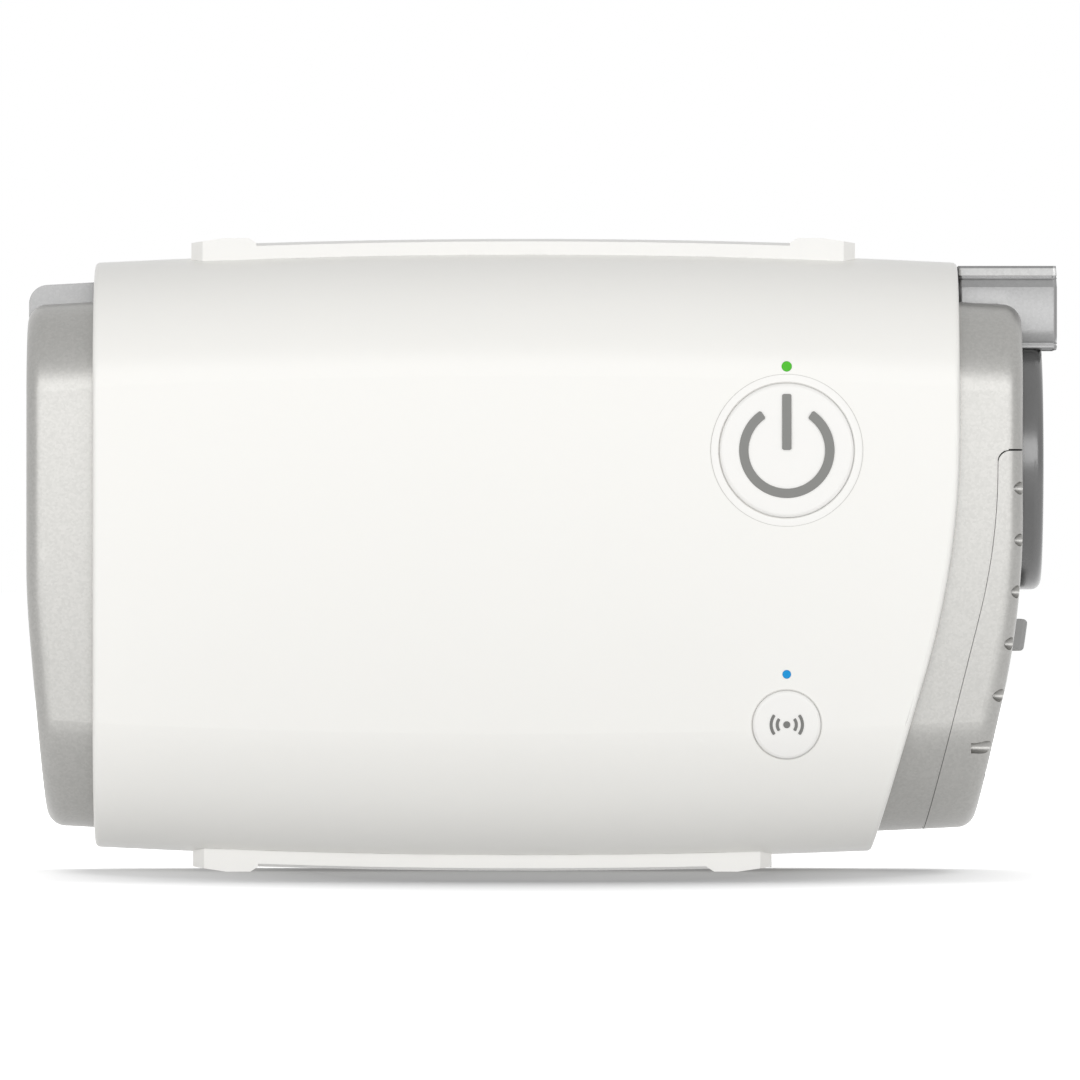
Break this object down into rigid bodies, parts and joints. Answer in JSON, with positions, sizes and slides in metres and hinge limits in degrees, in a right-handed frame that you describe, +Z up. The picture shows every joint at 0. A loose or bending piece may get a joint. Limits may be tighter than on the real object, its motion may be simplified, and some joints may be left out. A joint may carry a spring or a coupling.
{
  "type": "cpap machine",
  "caption": "Compact travel breathing-therapy machine: white tubular body between metallic ends, air outlet, hinged filter cover, push buttons and a blower inside.",
  "frame": {"origin": "centre of the footprint, on the surface that the lower rail stands on", "axes": "+X along the body towards the air outlet, -Y the front with the buttons, +Z up"},
  "size_m": [0.1356, 0.0522, 0.0835],
  "materials": {
    "white_shell": "glossy",
    "white_rail": "satin",
    "silver_cover": "metallic paint, satin",
    "dark_frame": "metallic paint, satin",
    "tab_grey": "satin",
    "filter_media": "non-woven",
    "collar_grey": "metallic paint, satin",
    "seal_rubber": "matte",
    "black_plastic": "matte",
    "grey_plastic": "matte",
    "button_white": "satin",
    "green_light": "lit, clear",
    "blue_light": "lit, clear",
    "board_green": "solder mask",
    "chip_black": "matte",
    "motor_steel": "drawn steel",
    "bearing_steel": "ground",
    "core_steel": "stacked sheet",
    "copper_wire": "enamelled wire",
    "magnet": "sintered",
    "grommet_rubber": "matte",
    "foam": "open-cell foam",
    "contact_brass": "bright",
    "screw_steel": "zinc plated"
  },
  "bodies": {
    "housing": {"sleeve": "white_shell", "top_rail": "white_rail", "bottom_rail": "white_rail", "left_end_frame": "dark_frame", "left_end_cover": "silver_cover", "right_end_frame": "dark_frame", "right_end_cover": "silver_cover", "air_filter": "filter_media", "outlet_collar": "collar_grey", "outlet_seal": "seal_rubber", "outlet_duct": "grey_plastic", "power_bezel": "white_rail", "power_switch": "black_plastic", "wireless_switch": "black_plastic", "power_light_pipe": "green_light", "wireless_light_pipe": "blue_light", "status_lights": "button_white", "main_board": "board_green", "board_parts": "chip_black", "blower_front": "black_plastic", "blower_rear": "black_plastic", "motor_can": "motor_steel", "bearings": "bearing_steel", "stator_core": "core_steel", "stator_coils": "copper_wire", "blower_grommets": "grommet_rubber", "chassis": "grey_plastic", "inlet_box": "black_plastic", "muffler_foam": "foam", "flow_sensor": "chip_black", "power_socket": "black_plastic", "socket_pin": "contact_brass", "end_screws": "screw_steel", "board_screws": "screw_steel", "blower_screws": "screw_steel"},
    "rotor": {"impeller": "grey_plastic", "motor_shaft": "bearing_steel", "rotor_magnet": "magnet"},
    "power_button": {"power_button": "button_white", "power_switch_stem": "black_plastic"},
    "wireless_button": {"wireless_button": "button_white", "wireless_switch_stem": "black_plastic"},
    "filter_cover": {"filter_cover": "silver_cover", "cover_tab": "tab_grey"}
  },
  "joints": [
    {"name": "power_press", "type": "slide", "parent": "housing", "child": "power_button", "axis": [0, 1, 0], "range_m": [0, 0.0008], "stiffness_N_per_m": 1000},
    {"name": "wireless_press", "type": "slide", "parent": "housing", "child": "wireless_button", "axis": [0, 1, 0], "range_m": [0, 0.0005], "stiffness_N_per_m": 1000},
    {"name": "cover_swing", "type": "hinge", "parent": "housing", "child": "filter_cover", "pos_m": [0.05033, 0, 0.0057], "axis": [0, 1, 0], "range_deg": [0, 60]},
    {"name": "rotor_spin", "type": "hinge", "parent": "housing", "child": "rotor", "pos_m": [-0.014, 0, 0.04005], "axis": [0, 1, 0], "continuous": true}
  ]
}
